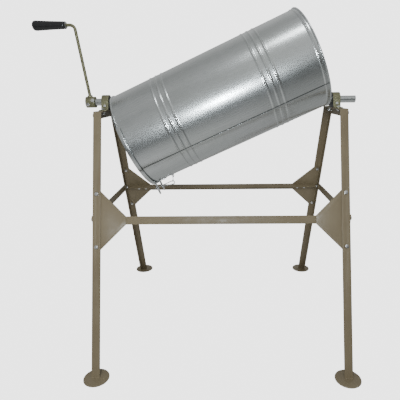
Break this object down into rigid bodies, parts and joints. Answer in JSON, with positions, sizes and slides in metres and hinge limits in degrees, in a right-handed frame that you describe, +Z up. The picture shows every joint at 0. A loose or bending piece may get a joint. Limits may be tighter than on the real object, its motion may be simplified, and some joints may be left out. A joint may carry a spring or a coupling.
{
  "type": "compost tumbler",
  "caption": "Galvanised drum set slantwise across a crank-turned shaft on a splayed angle-iron stand, with a hinged lid at its low end.",
  "frame": {"origin": "on the ground, under the middle of the whole object's box", "axes": "+X along the shaft from the crank to the free end, +Y from the front to the back, +Z up"},
  "size_m": [1.227, 0.982, 1.2694],
  "materials": {
    "stand_paint": "olive-brown enamel, satin, worn at edges",
    "zinc_fasteners": "bright zinc plate",
    "bearing_black": "moulded, matt",
    "yellow_zinc": "yellow zinc plate, dulled",
    "galvanised_sheet": "hot-dip galvanised, glossy with spangle",
    "galvanised_tube": "galvanised tube, satin",
    "grip_black": "moulded, semi-gloss",
    "zinc_hardware": "zinc plate, satin"
  },
  "bodies": {
    "stand": {"leg_front_left": "stand_paint", "leg_front_right": "stand_paint", "leg_back_left": "stand_paint", "leg_back_right": "stand_paint", "foot_front_left": "stand_paint", "foot_front_right": "stand_paint", "foot_back_left": "stand_paint", "foot_back_right": "stand_paint", "gusset_front_left": "stand_paint", "gusset_front_right": "stand_paint", "gusset_back_left": "stand_paint", "gusset_back_right": "stand_paint", "front_rail": "stand_paint", "back_rail": "stand_paint", "left_rail": "stand_paint", "right_rail": "stand_paint", "gusset_bolts": "zinc_fasteners", "back_rail_bolts": "zinc_fasteners", "side_rail_bolts": "zinc_fasteners", "left_cross_member": "stand_paint", "right_cross_member": "stand_paint", "cross_member_bolts": "zinc_fasteners", "left_bearing_block": "bearing_black", "right_bearing_block": "bearing_black", "left_bearing_strap": "yellow_zinc", "right_bearing_strap": "yellow_zinc", "strap_bolts": "zinc_fasteners", "strap_screws": "zinc_fasteners"},
    "drum": {"shaft": "galvanised_tube", "drum_shell": "galvanised_sheet", "drum_base": "galvanised_sheet", "end_plate": "galvanised_sheet", "left_shaft_flange": "zinc_hardware", "right_shaft_flange": "zinc_hardware", "flange_bolts": "zinc_fasteners", "fixed_hinge_leaves": "zinc_hardware", "hinge_pins": "zinc_hardware", "latch_keeper": "zinc_hardware", "tether_eye": "zinc_hardware", "crank_boss": "yellow_zinc", "boss_screws": "zinc_fasteners", "crank_rod": "yellow_zinc", "grip_washer": "zinc_hardware", "grip_retainer": "zinc_hardware"},
    "lid": {"lid": "galvanised_sheet", "lid_hinge_leaves": "zinc_hardware", "lid_ear": "zinc_hardware", "lid_rivets": "zinc_hardware"},
    "grip": {"grip": "grip_black", "grip_cap": "grip_black"},
    "clip": {"hitch_clip": "zinc_hardware"},
    "tether": {"tether_link": "zinc_hardware"}
  },
  "joints": [
    {"name": "drum_spin", "type": "hinge", "parent": "stand", "child": "drum", "pos_m": [0.08753, 0, 0.945], "axis": [1, 0, 0], "continuous": true},
    {"name": "grip_spin", "type": "hinge", "parent": "drum", "child": "grip", "pos_m": [-0.55053, 0, 1.224], "axis": [1, 0, 0], "continuous": true},
    {"name": "lid_hinge", "type": "hinge", "parent": "drum", "child": "lid", "pos_m": [-0.31013, -0.00239, 0.89934], "axis": [0, 0.9986, -0.0523], "range_deg": [0, 32]},
    {"name": "clip_slide", "type": "slide", "parent": "drum", "child": "clip", "axis": [0.9156, 0.021, 0.4014], "range_m": [0, 0.025]},
    {"name": "tether_swing", "type": "hinge", "parent": "drum", "child": "tether", "pos_m": [-0.10952, -0.0155, 0.6492], "axis": [0, -0.9986, 0.0523], "range_deg": [0, 53.15]}
  ],
  "couplings": [
    {"joint": "tether_swing", "follows": "clip_slide", "rad_per_m": 37.092}
  ]
}
